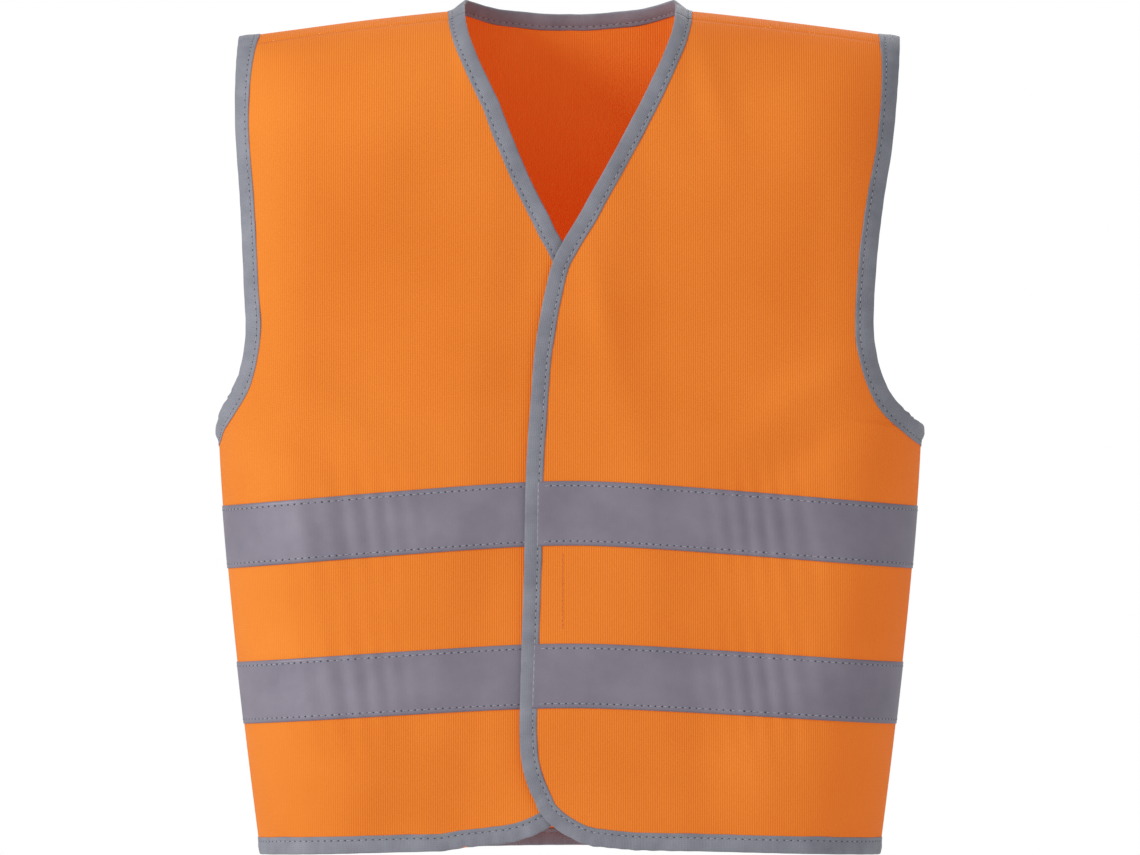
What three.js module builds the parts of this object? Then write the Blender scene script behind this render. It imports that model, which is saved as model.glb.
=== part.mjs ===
// A child's high visibility waistcoat, closed and filled out as if worn, in millimetres.
// +X is the wearer's left, the front faces -Y, +Z is up, and the origin is the middle of the
// neck at shoulder height. Cloth is placed by two distances along it: `across`, from the
// centre line round the body, and `along`, from the shoulder ridge down (front +, back -).
import * as THREE from 'three';

// Body form
const SIDE_RADIUS = 56;
const FRONT_CROWN = 12;
const SHOULDER_DROP = 75;
const SHOULDER_ARC = 104;
const CHEST_WIDTH = 210.5;
const HEM_TAPER = 24.5;
const TAPER_POWER = 1.35;
const UNDERARM = -254;
const HEM = -505;
const NECK_HALF = 64;
const NECK_BACK_HEIGHT = -6;
const NECK_SQUARENESS = 2.4;
const NECK_RAMP = 18;
const NECK_FADE = 70;
const NECK_LIP = { drop: 4, from: 58, reach: 14 };
const SHOULDER_HALF = 197;
const SHOULDER_SLOPE = 16;
const SHOULDER_POWER = 1.15;
const SAG_REACH = 200;
const SAG_ROUND = 40;
const LONGEST_ALONG = 560;

// Cloth thicknesses and clearances
const CLOTH = 0.8;
const TAPE = 0.5;
const GAP = 0.35;
const BINDING_WIDTH = 9.7;
const BINDING_WALL = 0.6;
const BINDING_CLEAR = 0.65;
const NECK_CLEAR = 1.2;
const STRIP = 1.1;
const LAP = 2.2;
const LAP_RAMP = 30;
const CUT = 0.25;

// Bands, by height at the centre front
const UPPER_BAND = [-286, -324.5];
const LOWER_BAND = [-383, -421.5];

// Line that each front folds back on: half-width and height at its two ends
const ROLL_TOP = { x: 43, z: -60 };
const ROLL_HEM = { x: 90, z: HEM };

// Closure strips
const STRIP_X = [-16.5, -3];
const STRIP_Z = [-329, -375];

// Blank care label, inside the front panel beside the left side seam
const LABEL_X = [150, 160, 168];
const LABEL_Z = [-440, -474];
const LABEL_LEVELS = [-1.6, -1.1];

const ORANGE = { color: 0xee7c35, roughness: 0.85, metalness: 0 };
const SILVER = { color: 0x8a8896, roughness: 0.45, metalness: 0.1 };
const GREY = { color: 0x8c8a94, roughness: 0.7, metalness: 0 };
const STRIP_FINISH = { color: 0xe0672c, roughness: 0.9, metalness: 0 };
const WHITE = { color: 0xf2f2ee, roughness: 0.8, metalness: 0 };

// Numerical steps
const BISECTIONS = 40;
const SETTLING_PASSES = 6;
const NORMAL_STEP = 0.5;
const OFF_CENTRE = 0.001;
const JUST_OFF_RIDGE = 0.01;

const group = new THREE.Group();

function smooth(t) {
  const c = THREE.MathUtils.clamp(t, 0, 1);
  return c * c * (3 - 2 * c);
}

// Smooth function through [input, value] points, inputs falling or rising.
function through(points) {
  const p = points[0][0] < points[points.length - 1][0] ? points : [...points].reverse();
  const slope = (i) => {
    const a = p[Math.max(0, i - 1)];
    const b = p[Math.min(p.length - 1, i + 1)];
    return (b[1] - a[1]) / (b[0] - a[0]);
  };
  return (input) => {
    const v = THREE.MathUtils.clamp(input, p[0][0], p[p.length - 1][0]);
    let i = 0;
    while (i < p.length - 2 && v > p[i + 1][0]) i += 1;
    const h = p[i + 1][0] - p[i][0];
    const t = (v - p[i][0]) / h;
    const a = (1 + 2 * t) * (1 - t) ** 2 * p[i][1] + t * (1 - t) ** 2 * h * slope(i);
    return a + t * t * (3 - 2 * t) * p[i + 1][1] + t * t * (t - 1) * h * slope(i + 1);
  };
}

// Armhole edges: height, then half-width. They hang a little differently on the two sides.
const ARMHOLE = {
  1: through([
    [0, 196], [-22, 197], [-58, 194.9], [-88, 191.9], [-118, 187], [-154, 182.9], [-196, 181],
    [-214, 183.4], [-226, 187.4], [-238, 193.6], [-248, 203.5], [UNDERARM, CHEST_WIDTH],
  ]),
  '-1': through([
    [0, 196], [-34, 199], [-73, 199.6], [-118, 197.2], [-172, 194.8], [-196, 193.6],
    [-214, 195.4], [-226, 198.6], [-238, 204.5], [-246, 208.5], [UNDERARM, CHEST_WIDTH],
  ]),
};

// V neck above the fold lines: height, then half-width.
const neckX = through([
  [0, NECK_HALF], [-10, 63.2], [-20, 60.8], [-33, 55.8], [-46, 49.8], [-60, ROLL_TOP.x],
]);

// Rise of the cloth behind the neck, by half-width, so that the back neck edge stays high.
const neckRise = through([
  [0, 34], [18, 31.9], [30, 27.7], [42, 19.8], [54, 11.5], [60, 7], [68, 3], [82, 0],
]);

// Free edges of the two fronts below the fold lines: height, then x.
const FREE_EDGE = {
  1: through([
    [-60, ROLL_TOP.x], [-73, 36], [-88, 28.1], [-103, 19.8], [-118, 11.3], [-127, 6.4], [-136, 0.9],
    [-144, -3.9], [-155, -9.4], [-172, -13.9], [-196, -18.5], [-214, -20.9], [-238, -22.7],
    [-262, -24.5], [-290, -25.8], [-334, -26.6], [-382, -28.1], [-430, -29.3], [-442, -29.2],
    [-454, -28.1], [-466, -25], [-478, -19.7], [-484, -16.9], [-490.5, -10.8], [-494.5, -5.4],
    [-498, 0.6], [-501, 6.6], [-502.8, 12.6], [-504.3, 21], [HEM, 38],
  ]),
  '-1': through([
    [-60, -ROLL_TOP.x], [-73, -38.2], [-88, -32.2], [-103, -25.9], [-118, -18.6], [-127, -13.7],
    [-136, -9.6], [-144, -4.9], [-154, -0.5], [-166, 2.8], [-190, 6], [-240, 8.5], [-330, 10],
    [-430, 8], [-450, 6.5], [-466, 3.6], [-480, -2], [-491.3, -12], [-495, -18.3],
    [-499.7, -30.3], [-502.1, -42], [-503.3, -54], [HEM, -76],
  ]),
};

function halfWidth(z) {
  const t = Math.max(0, (UNDERARM - z) / (UNDERARM - HEM));
  return CHEST_WIDTH - HEM_TAPER * t ** TAPER_POWER;
}

// How far the rows drop towards the sides, by height.
const sagAt = through([[-200, 13.6], [-286, 14.3], [-324, 13.6], [-383, 11.6], [-421, 10.4], [HEM, 4.6]]);

// Height of a point `x` out from the centre line, `along` the cloth from the ridge.
function heightAt(x, along) {
  const d = Math.abs(along);
  const turn = Math.min(1, d / SHOULDER_ARC) * Math.PI / 2;
  const drop = SHOULDER_DROP * (1 - Math.cos(turn)) + Math.max(0, d - SHOULDER_ARC);
  const shoulder = 1 - smooth(drop / -UNDERARM);
  const slope = Math.max(0, (x - NECK_HALF) / (SHOULDER_HALF - NECK_HALF)) ** SHOULDER_POWER;
  const lip = NECK_LIP.drop * smooth((x - NECK_LIP.from) / NECK_LIP.reach);
  const rise = along < 0 ? neckRise(x) * smooth(d / NECK_RAMP) : 0;
  const fade = Math.max(0, 1 - drop / NECK_FADE) ** 2;
  const spread = (Math.hypot(x, SAG_ROUND) - SAG_ROUND) / (Math.hypot(SAG_REACH, SAG_ROUND) - SAG_ROUND);
  const sag = (1 - shoulder) * sagAt(-drop) * spread;
  return -drop - shoulder * (SHOULDER_SLOPE * slope + lip) + fade * rise - sag;
}

// Distance along the cloth at which it has height z, x out from the centre line.
function alongAt(x, z, face = 1) {
  let low = 0;
  let high = LONGEST_ALONG;
  for (let i = 0; i < BISECTIONS; i += 1) {
    const mid = (low + high) / 2;
    if (heightAt(x, mid * face) > z) low = mid;
    else high = mid;
  }
  return low * face;
}

function place(across, along) {
  const arc = Math.abs(across);
  let x = Math.min(arc, CHEST_WIDTH);
  let bend = 0;
  for (let i = 0; i < SETTLING_PASSES; i += 1) {
    const flat = halfWidth(heightAt(x, along)) - SIDE_RADIUS;
    bend = Math.min(Math.PI / 2, Math.max(0, (arc - flat) / SIDE_RADIUS));
    x = bend > 0 ? flat + SIDE_RADIUS * Math.sin(bend) : arc;
  }
  const z = heightAt(x, along);
  const share = Math.sin(Math.PI / 2 * Math.min(1, Math.abs(along) / SHOULDER_ARC)) * Math.sign(along);
  const crown = along > 0 ? FRONT_CROWN * (1 - (x / halfWidth(z)) ** 2) : 0;
  const depth = SIDE_RADIUS * Math.cos(bend) + crown;
  return new THREE.Vector3(Math.sign(across) * x, -share * depth, z);
}

function acrossAt(x, z) {
  const flat = halfWidth(z) - SIDE_RADIUS;
  const out = Math.abs(x) - flat;
  if (out <= 0) return x;
  return Math.sign(x) * (flat + SIDE_RADIUS * Math.asin(Math.min(1, out / SIDE_RADIUS)));
}

function sideSeam(along) {
  let z = heightAt(CHEST_WIDTH, along);
  for (let i = 0; i < SETTLING_PASSES; i += 1) z = heightAt(halfWidth(z), along);
  return halfWidth(z) - SIDE_RADIUS + SIDE_RADIUS * Math.PI / 2;
}

function rollX(z) {
  return ROLL_TOP.x + (ROLL_HEM.x - ROLL_TOP.x) * (ROLL_TOP.z - z) / (ROLL_TOP.z - ROLL_HEM.z);
}

// How far a front stands out from the body form: the two fronts part where they lap.
function lapOffset(across, along, flap) {
  if (!flap) return 0;
  const z = heightAt(Math.abs(across), along);
  const inward = rollX(z) - flap * across;
  return flap * LAP * smooth(inward / LAP_RAMP);
}

function outward(across, along) {
  const inset = across - Math.sign(across) * NORMAL_STEP;
  const du = place(across, along).sub(place(inset, along)).multiplyScalar(Math.sign(across));
  const dv = place(across, along + NORMAL_STEP).sub(place(across, along - NORMAL_STEP));
  return du.cross(dv).normalize().negate();
}

// A point of the cloth's middle surface, and its normal. `flap` is 1, -1 or 0.
function spot(across, along, flap = 0) {
  const a = across === 0 ? OFF_CENTRE : across;
  const normal = outward(a, along);
  const point = place(a, along).addScaledVector(normal, lapOffset(a, along, flap));
  return { point, normal };
}

function addMesh(name, vertices, triangles, finish) {
  let volume = 0;
  const corner = (i) => new THREE.Vector3(...vertices[i]);
  for (const [a, b, c] of triangles) volume += corner(a).dot(corner(b).cross(corner(c)));
  const index = triangles.flatMap(([a, b, c]) => (volume > 0 ? [a, b, c] : [a, c, b]));
  const geometry = new THREE.BufferGeometry();
  geometry.setAttribute('position', new THREE.Float32BufferAttribute(vertices.flat(), 3));
  geometry.setIndex(index);
  geometry.computeVertexNormals();
  const mesh = new THREE.Mesh(geometry, new THREE.MeshStandardMaterial(finish));
  mesh.name = name;
  group.add(mesh);
}

// A sheet between two offsets from a mesh of spots, walled along the mesh's free edges.
function thicken(name, spots, faces, inner, outer, finish) {
  const count = spots.length;
  const vertices = [outer, inner].flatMap((level) => spots.map(({ point, normal }) => (
    point.clone().addScaledVector(normal, level).toArray())));
  const triangles = [];
  const open = new Map();
  for (const [a, b, c] of faces) {
    triangles.push([a, b, c], [a + count, c + count, b + count]);
    for (const [m, n] of [[a, b], [b, c], [c, a]]) {
      if (!open.delete(`${n},${m}`)) open.set(`${m},${n}`, [m, n]);
    }
  }
  for (const [m, n] of open.values()) {
    triangles.push([m, m + count, n + count], [m, n + count, n]);
  }
  addMesh(name, vertices, triangles, finish);
}

function gridFaces(rows, columns, index = (i, j) => i * columns + j) {
  const faces = [];
  for (let i = 0; i < rows - 1; i += 1) {
    for (let j = 0; j < columns - 1; j += 1) {
      const [a, b] = [index(i, j), index(i, j + 1)];
      const [c, d] = [index(i + 1, j + 1), index(i + 1, j)];
      faces.push([a, b, c], [a, c, d]);
    }
  }
  return faces;
}

function sheet(name, rows, inner, outer, finish) {
  thicken(name, rows.flat(), gridFaces(rows.length, rows[0].length), inner, outer, finish);
}

// A folded binding over an edge: `stations` are pairs of spots, on the edge and inboard of it.
function binding(name, stations, closed, clear = BINDING_CLEAR) {
  const near = CLOTH / 2 + clear;
  const far = near + BINDING_WALL;
  const vertices = [];
  for (const { edge, inner } of stations) {
    const off = edge.point.clone().sub(inner.point);
    off.addScaledVector(edge.normal, -off.dot(edge.normal)).normalize();
    const at = (spotted, level, beyond) => {
      const p = spotted.point.clone().addScaledVector(spotted.normal, level);
      vertices.push(p.addScaledVector(off, beyond).toArray());
    };
    at(inner, far, 0);
    at(edge, far, BINDING_CLEAR);
    at(edge, near, BINDING_CLEAR + BINDING_WALL);
    at(edge, -near, BINDING_CLEAR + BINDING_WALL);
    at(edge, -far, BINDING_CLEAR);
    at(inner, -far, 0);
    at(inner, -near, 0);
    at(edge, -near, BINDING_CLEAR);
    at(edge, near, BINDING_CLEAR);
    at(inner, near, 0);
  }
  const sides = 10;
  const triangles = [];
  const spans = closed ? stations.length : stations.length - 1;
  for (let i = 0; i < spans; i += 1) {
    const next = (i + 1) % stations.length;
    for (let k = 0; k < sides; k += 1) {
      const m = (k + 1) % sides;
      const [a, b, c, d] = [i * sides + k, i * sides + m, next * sides + m, next * sides + k];
      triangles.push([a, b, c], [a, c, d]);
    }
  }
  if (!closed) {
    const cap = [[0, 1, 8], [0, 8, 9], [1, 2, 8], [2, 3, 7], [2, 7, 8], [3, 4, 7], [4, 5, 6], [4, 6, 7]];
    const last = (stations.length - 1) * sides;
    for (const [a, b, c] of cap) triangles.push([a, c, b], [last + a, last + b, last + c]);
  }
  addMesh(name, vertices, triangles, GREY);
}

// Rows of the panels, by height at the centre line, and their columns from inner to outer edge.
const LOW_ROWS = [HEM, -501, -496, -490.5, -480, -466, -450, LOWER_BAND[1], LOWER_BAND[0], -353,
  UPPER_BAND[1], UPPER_BAND[0], -262, -240];
const ARM_ROWS = [-237, -233, -226, -215, -196, -172, -155, -144, -128, -108, -90, -75, ROLL_TOP.z];
const TOP_ROWS = [-52, -43, -34, -26, -18, -11];
const SEAM_HEIGHT = -5.5;
const COLUMNS = [0, 0.04, 0.08, 0.14, 0.25, 0.45, 0.56, 0.64, 0.72, 0.79, 0.86, 0.93, 1];
const BACK_COLUMNS = [0, 0.035, 0.07, 0.11, 0.18, 0.27, 0.4, 0.52, 0.64, 0.7, 0.76, 0.82, 0.88, 0.94, 1];
const FLAP_COLUMNS = [0, 0.25, 0.5, 0.75, 1];

const rowAlong = (z) => alongAt(0, z, 1);
const seamAlong = rowAlong(SEAM_HEIGHT);
const rollTopAlong = rowAlong(ROLL_TOP.z);
const frontRows = [...[...LOW_ROWS, ...ARM_ROWS, ...TOP_ROWS].map(rowAlong), seamAlong + CUT];

// Where a row meets an outline that gives x for a height.
function crossing(along, outline) {
  let x = 0;
  for (let i = 0; i < BISECTIONS; i += 1) x = (x + outline(heightAt(Math.abs(x), along))) / 2;
  return x;
}

const rollAt = (along) => crossing(along, rollX);
const neckAt = (along) => crossing(along, neckX);

// Outer end of a row: the side seam below the underarm, the armhole edge above it.
function outerAt(along, side) {
  const seam = sideSeam(along);
  if (heightAt(CHEST_WIDTH, along) <= UNDERARM) return seam - CUT;
  const x = crossing(along, ARMHOLE[side]);
  return Math.min(seam - CUT, acrossAt(x, heightAt(x, along)));
}

function innerAt(along) {
  return along > rollTopAlong + 0.1 ? rollAt(along) + CUT : neckAt(along);
}

function sideRow(side, along, fractions = COLUMNS) {
  const [inner, outer] = [innerAt(along), outerAt(along, side)];
  return fractions.map((t) => spot(side * THREE.MathUtils.lerp(inner, outer, t), along));
}

function flapRow(side, along, edgeInset) {
  const roll = side * (rollAt(along) - CUT);
  const edge = crossing(along, FREE_EDGE[side]) + side * edgeInset;
  return FLAP_COLUMNS.map((t) => spot(THREE.MathUtils.lerp(roll, edge, t), along, side));
}

// Back neck edge: half-width at each distance behind the shoulder ridge.
const NECK_BACK = alongAt(0, NECK_BACK_HEIGHT, -1);

function backNeckX(along) {
  const t = Math.min(1, Math.max(0, along / NECK_BACK));
  return NECK_HALF * (1 - t ** NECK_SQUARENESS) ** (1 / NECK_SQUARENESS);
}

// Back panel: two half grids that share the centre line below the neck.
const WING_STEPS = [1, 0.985, 0.95, 0.88, 0.77, 0.64, 0.5, 0.36, 0.22, 0.1, 0];
const OVER_RIDGE = [8, 16];
const wingRows = [...WING_STEPS.map((t) => t * NECK_BACK), ...OVER_RIDGE, seamAlong - CUT];
const backRows = [...LOW_ROWS, ...ARM_ROWS, -48, -38, -29].map((z) => -rowAlong(z));

function backPanel() {
  const rows = [...backRows, ...wingRows];
  const spots = [];
  const faces = [];
  const centre = new Map();
  for (const side of [1, -1]) {
    const ids = rows.map((along, i) => {
      const wing = i >= backRows.length;
      const inner = wing ? (along > 0 ? neckAt(along) : backNeckX(along)) : 0;
      const outer = outerAt(along, side);
      return BACK_COLUMNS.map((t, j) => {
        const shared = j === 0 && inner < JUST_OFF_RIDGE;
        if (shared && centre.has(i)) return centre.get(i);
        spots.push(spot(side * THREE.MathUtils.lerp(inner, outer, t), along));
        if (shared) centre.set(i, spots.length - 1);
        return spots.length - 1;
      });
    });
    const half = gridFaces(rows.length, BACK_COLUMNS.length, (i, j) => ids[i][j]);
    faces.push(...(side > 0 ? half : half.map(([a, b, c]) => [a, c, b])));
  }
  thicken('back_panel', spots, faces, -CLOTH / 2, CLOTH / 2, ORANGE);
}

// Midpoints put into the long spans of a path of [across, along] points.
const LONG_SPAN = 9;
const MID_RIDGE = 12;

function finer(path) {
  return path.flatMap((point, i) => {
    const next = path[i + 1];
    if (!next || Math.hypot(next[0] - point[0], next[1] - point[1]) < LONG_SPAN) return [point];
    return [point, [(point[0] + next[0]) / 2, (point[1] + next[1]) / 2]];
  });
}

// Stations of a binding along an edge. The cloth lies on the side given by `turn`. A mitred
// end slides the inner edge along the path, so that the binding ends on the roll line.
const MITRE_REACH = 45;

function mitreSlide([across, along], way, turn, sign, gap) {
  let low = 0;
  let high = MITRE_REACH;
  for (let i = 0; i < BISECTIONS; i += 1) {
    const mid = (low + high) / 2;
    const x = Math.abs(across + turn * way.y * BINDING_WIDTH + sign * way.x * mid);
    const z = heightAt(x, along - turn * way.x * BINDING_WIDTH + sign * way.y * mid);
    if (x - rollX(z) > gap) low = mid;
    else high = mid;
  }
  return sign * low;
}

function wayAt(points, i) {
  const before = points[Math.max(0, i - 1)];
  const after = points[Math.min(points.length - 1, i + 1)];
  return new THREE.Vector2(after[0] - before[0], after[1] - before[1]).normalize();
}

function stationsAlong(points, turn, flap, mitre = {}) {
  const walked = [0];
  for (let i = 1; i < points.length; i += 1) {
    const step = Math.hypot(points[i][0] - points[i - 1][0], points[i][1] - points[i - 1][1]);
    walked.push(walked[i - 1] + step);
  }
  const total = walked[walked.length - 1];
  const slideOf = (i, sign, gap) => (
    gap === undefined ? 0 : mitreSlide(points[i], wayAt(points, i), turn, sign, gap));
  const first = slideOf(0, mitre.first > 0 ? -1 : 1, mitre.first);
  const last = slideOf(points.length - 1, 1, mitre.last);
  return points.map(([across, along], i) => {
    const way = wayAt(points, i);
    const slide = first * (1 - smooth(walked[i] / MITRE_REACH))
      + last * (1 - smooth((total - walked[i]) / MITRE_REACH));
    const inboard = (width, slip) => (
      spot(across + turn * way.y * width + way.x * slip, along - turn * way.x * width + way.y * slip, flap));
    const edge = spot(across, along, flap);
    const stretch = inboard(BINDING_WIDTH, 0).point.distanceTo(edge.point) / BINDING_WIDTH;
    return { edge, inner: inboard(BINDING_WIDTH / stretch, slide) };
  });
}

function armholeBinding(name, side) {
  const rows = [...[...ARM_ROWS, ...TOP_ROWS].map(rowAlong), seamAlong, MID_RIDGE, JUST_OFF_RIDGE];
  const tip = alongAt(CHEST_WIDTH, UNDERARM, 1);
  const seam = sideSeam(tip);
  const rise = finer([[seam, tip], ...rows.map((along) => [outerAt(along, side), along])]);
  const fall = rise.slice(0, -1).reverse().map(([across, along]) => [across, -along]);
  const path = [[seam + 1, tip], ...rise, ...fall].map(([across, along]) => [side * across, along]);
  binding(name, stationsAlong(path, side, 0).slice(1, -1), true);
}

function neckBinding() {
  const front = [ROLL_TOP.z, ...TOP_ROWS].map(rowAlong);
  const rise = [...front, seamAlong, MID_RIDGE].map((along) => [neckAt(along), along]);
  rise[0][0] += CUT;
  const back = [...WING_STEPS].reverse().map((t) => [backNeckX(t * NECK_BACK), t * NECK_BACK]);
  const half = [...finer(rise), [NECK_HALF, JUST_OFF_RIDGE], ...back.slice(1)];
  const other = half.slice(0, -1).reverse().map(([across, along]) => [-across, along]);
  const stations = stationsAlong([...half, ...other], -1, 0, { first: CUT, last: CUT });
  binding('neck_binding', stations, false, NECK_CLEAR);
}

const EDGE_HEIGHTS = [-66, -73, -81, -90, -108, -128, -144, -155, -172, -196, -225, -265, -305, -345, -390,
  -430, -450, -466, -480, -490.5, -496, -501];

function frontBinding(name, side) {
  const point = (x, z) => [x, alongAt(Math.abs(x), z, 1)];
  const hemAlong = rowAlong(HEM);
  const first = point(side * (ROLL_TOP.x - CUT), ROLL_TOP.z);
  const edge = EDGE_HEIGHTS.map((z) => point(FREE_EDGE[side](z), z));
  const corner = FREE_EDGE[side](HEM);
  const hem = [corner, (corner + side * ROLL_HEM.x) / 2, side * (ROLL_HEM.x - CUT)];
  const path = [first, ...edge, ...hem.map((x) => [x, hemAlong])];
  binding(name, stationsAlong(path, side, side, { first: -CUT }), false);
}

function hemBinding() {
  const hemAlong = rowAlong(HEM);
  const seam = sideSeam(hemAlong);
  const reach = (t) => THREE.MathUtils.lerp(ROLL_HEM.x + CUT, seam, t);
  const front = COLUMNS.map((t) => [reach(t), hemAlong]);
  const back = BACK_COLUMNS.slice(0, -1).reverse().map((t) => [t * seam, -hemAlong]);
  const half = [...front, ...back];
  const other = half.slice(0, -1).reverse().map(([across, along]) => [-across, along]);
  const stations = [...half, ...other].map(([across, along]) => ({
    edge: spot(across, along),
    inner: spot(across, along - Math.sign(along) * BINDING_WIDTH),
  }));
  binding('hem_binding', stations, false);
}

function patch(name, xs, zs, flap, levels, finish, face = 1) {
  const rows = zs.map((z) => xs.map((x) => (
    spot(acrossAt(x, z), alongAt(Math.abs(x), z, face), flap))));
  sheet(name, rows, ...levels, finish);
}

const bandRows = ([top, bottom]) => [bottom, top].map(rowAlong);
const tapeLevels = [CLOTH / 2 + GAP, CLOTH / 2 + GAP + TAPE];
const stripLevels = [CLOTH / 2 + GAP, CLOTH / 2 + GAP + STRIP];
const BANDS = { upper: UPPER_BAND, lower: LOWER_BAND };
const WEARER = { left: 1, right: -1 };

for (const [name, side] of Object.entries(WEARER)) {
  const flapRows = frontRows.filter((along) => along > rollTopAlong + 0.1);
  const sideRows = frontRows.map((along) => sideRow(side, along));
  const flap = flapRows.map((along) => flapRow(side, along, 0));
  sheet(`front_panel_${name}_side`, sideRows, -CLOTH / 2, CLOTH / 2, ORANGE);
  sheet(`front_panel_${name}_flap`, flap, -CLOTH / 2, CLOTH / 2, ORANGE);
  for (const [band, heights] of Object.entries(BANDS)) {
    const along = bandRows(heights);
    const inset = BINDING_WIDTH + GAP;
    sheet(`${band}_tape_${name}_side`, along.map((a) => sideRow(side, a)), ...tapeLevels, SILVER);
    sheet(`${band}_tape_${name}_flap`, along.map((a) => flapRow(side, a, inset)), ...tapeLevels, SILVER);
  }
  armholeBinding(`armhole_binding_${name}`, side);
  frontBinding(`front_binding_${name}`, side);
}

backPanel();
for (const [band, heights] of Object.entries(BANDS)) {
  const rows = bandRows(heights).map((along) => {
    const half = BACK_COLUMNS.map((t) => t * outerAt(-along, 1));
    const widths = [...half.slice(1).reverse().map((w) => -w), ...half];
    return widths.map((across) => spot(across, -along));
  });
  sheet(`${band}_tape_back`, rows, ...tapeLevels, SILVER);
}
neckBinding();
hemBinding();
patch('hook_strip', STRIP_X, STRIP_Z, 1, stripLevels.map((v) => -v).reverse(), STRIP_FINISH);
patch('loop_strip', STRIP_X, STRIP_Z, -1, stripLevels, STRIP_FINISH);
patch('care_label', LABEL_X, LABEL_Z, 0, LABEL_LEVELS, WHITE);

export default group;
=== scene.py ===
"""A child's high visibility waistcoat: orange knit, two reflective bands, bound edges, lapped front.

Cloth is placed by two distances along it, in metres: `across`, from the centre line round the
body, and `along`, from the shoulder ridge down (front +, back -), on the same body form as the
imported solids. Folds are added to that form, and every tape, binding and stitch follows them.
"""
import math

import bpy
import numpy as np
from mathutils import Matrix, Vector


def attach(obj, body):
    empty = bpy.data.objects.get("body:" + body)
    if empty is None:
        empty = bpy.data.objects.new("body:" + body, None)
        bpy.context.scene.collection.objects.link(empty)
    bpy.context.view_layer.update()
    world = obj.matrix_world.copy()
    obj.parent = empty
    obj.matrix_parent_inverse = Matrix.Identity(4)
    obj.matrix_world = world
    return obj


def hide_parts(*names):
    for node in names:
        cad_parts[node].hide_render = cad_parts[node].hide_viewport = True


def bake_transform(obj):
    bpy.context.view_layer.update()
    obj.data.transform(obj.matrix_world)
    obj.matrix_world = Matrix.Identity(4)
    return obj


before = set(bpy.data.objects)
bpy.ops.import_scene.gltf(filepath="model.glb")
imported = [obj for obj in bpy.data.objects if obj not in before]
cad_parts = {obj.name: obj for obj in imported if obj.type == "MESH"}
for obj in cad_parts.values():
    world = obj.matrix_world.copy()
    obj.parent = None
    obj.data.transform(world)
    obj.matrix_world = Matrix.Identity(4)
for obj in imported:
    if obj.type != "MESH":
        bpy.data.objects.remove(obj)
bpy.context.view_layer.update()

# Body form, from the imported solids
SIDE_RADIUS = 0.056
FRONT_CROWN = 0.012
SHOULDER_DROP = 0.075
SHOULDER_ARC = 0.104
CHEST_WIDTH = 0.2105
HEM_TAPER = 0.0245
TAPER_POWER = 1.35
UNDERARM = -0.254
HEM = -0.505
NECK_HALF = 0.064
NECK_BACK_HEIGHT = -0.006
NECK_SQUARENESS = 2.4
NECK_RAMP = 0.018
NECK_FADE = 0.070
NECK_LIP = (0.004, 0.058, 0.014)
SHOULDER_HALF = 0.197
SHOULDER_SLOPE = 0.016
SHOULDER_POWER = 1.15
SAG_REACH = 0.200
SAG_ROUND = 0.040
SEAM_HEIGHT = -0.0055
LAP = 0.0022
LAP_RAMP = 0.030
ROLL_TOP = (0.043, -0.060)
ROLL_HEM = (0.090, HEM)
BANDS = {"upper": (-0.286, -0.3245), "lower": (-0.383, -0.4215)}

# Cloth thicknesses, from the middle surface of the knit
CLOTH_HALF = 0.0003
TAPE_INNER = 0.00035
TAPE_OUTER = 0.0008
BINDING_WIDTH = 0.0097
BINDING_INNER = 0.00042
BINDING_EDGE = 0.00075
ARMHOLE_WIDENING = 1.2
STITCH_PITCH = 0.0041
STITCH_LENGTH = 0.0027
THREAD_RADIUS = 0.00022
HOLE_SIZE = (0.00062, 0.00052)
CLOTH_STEP = 0.0030
BINDING_STEP = 0.0021
SIDES = {"left": 1, "right": -1}


def smooth(t):
    c = np.clip(t, 0, 1)
    return c * c * (3 - 2 * c)


def through(points):
    """Smooth function through (input, value) points."""
    xs, ys = np.array(sorted(points), float).T
    slopes = np.empty(len(xs))
    slopes[1:-1] = (ys[2:] - ys[:-2]) / (xs[2:] - xs[:-2])
    slopes[0] = (ys[1] - ys[0]) / (xs[1] - xs[0])
    slopes[-1] = (ys[-1] - ys[-2]) / (xs[-1] - xs[-2])

    def value(x):
        v = np.clip(x, xs[0], xs[-1])
        i = np.clip(np.searchsorted(xs, v, side="right") - 1, 0, len(xs) - 2)
        h = xs[i + 1] - xs[i]
        t = (v - xs[i]) / h
        start = (1 + 2 * t) * (1 - t) ** 2 * ys[i] + t * (1 - t) ** 2 * h * slopes[i]
        return start + t * t * (3 - 2 * t) * ys[i + 1] + t * t * (t - 1) * h * slopes[i + 1]

    return value


# Outlines: height, then x (half-width at the armholes and the neck)
ARMHOLE = {
    1: through([(0, 0.196), (-0.022, 0.197), (-0.058, 0.1949), (-0.088, 0.1919), (-0.118, 0.187),
                (-0.154, 0.1829), (-0.196, 0.181), (-0.214, 0.1834), (-0.226, 0.1874),
                (-0.238, 0.1936), (-0.248, 0.2035), (UNDERARM, CHEST_WIDTH)]),
    -1: through([(0, 0.196), (-0.034, 0.199), (-0.073, 0.1996), (-0.118, 0.1972),
                 (-0.172, 0.1948), (-0.196, 0.1936), (-0.214, 0.1954), (-0.226, 0.1986),
                 (-0.238, 0.2045), (-0.246, 0.2085), (UNDERARM, CHEST_WIDTH)]),
}
neck_x = through([(0, NECK_HALF), (-0.010, 0.0632), (-0.020, 0.0608), (-0.033, 0.0558),
                  (-0.046, 0.0498), (ROLL_TOP[1], ROLL_TOP[0])])
neck_rise = through([(0, 0.034), (0.018, 0.0319), (0.030, 0.0277), (0.042, 0.0198),
                     (0.054, 0.0115), (0.060, 0.007), (0.068, 0.003), (0.082, 0)])
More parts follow.
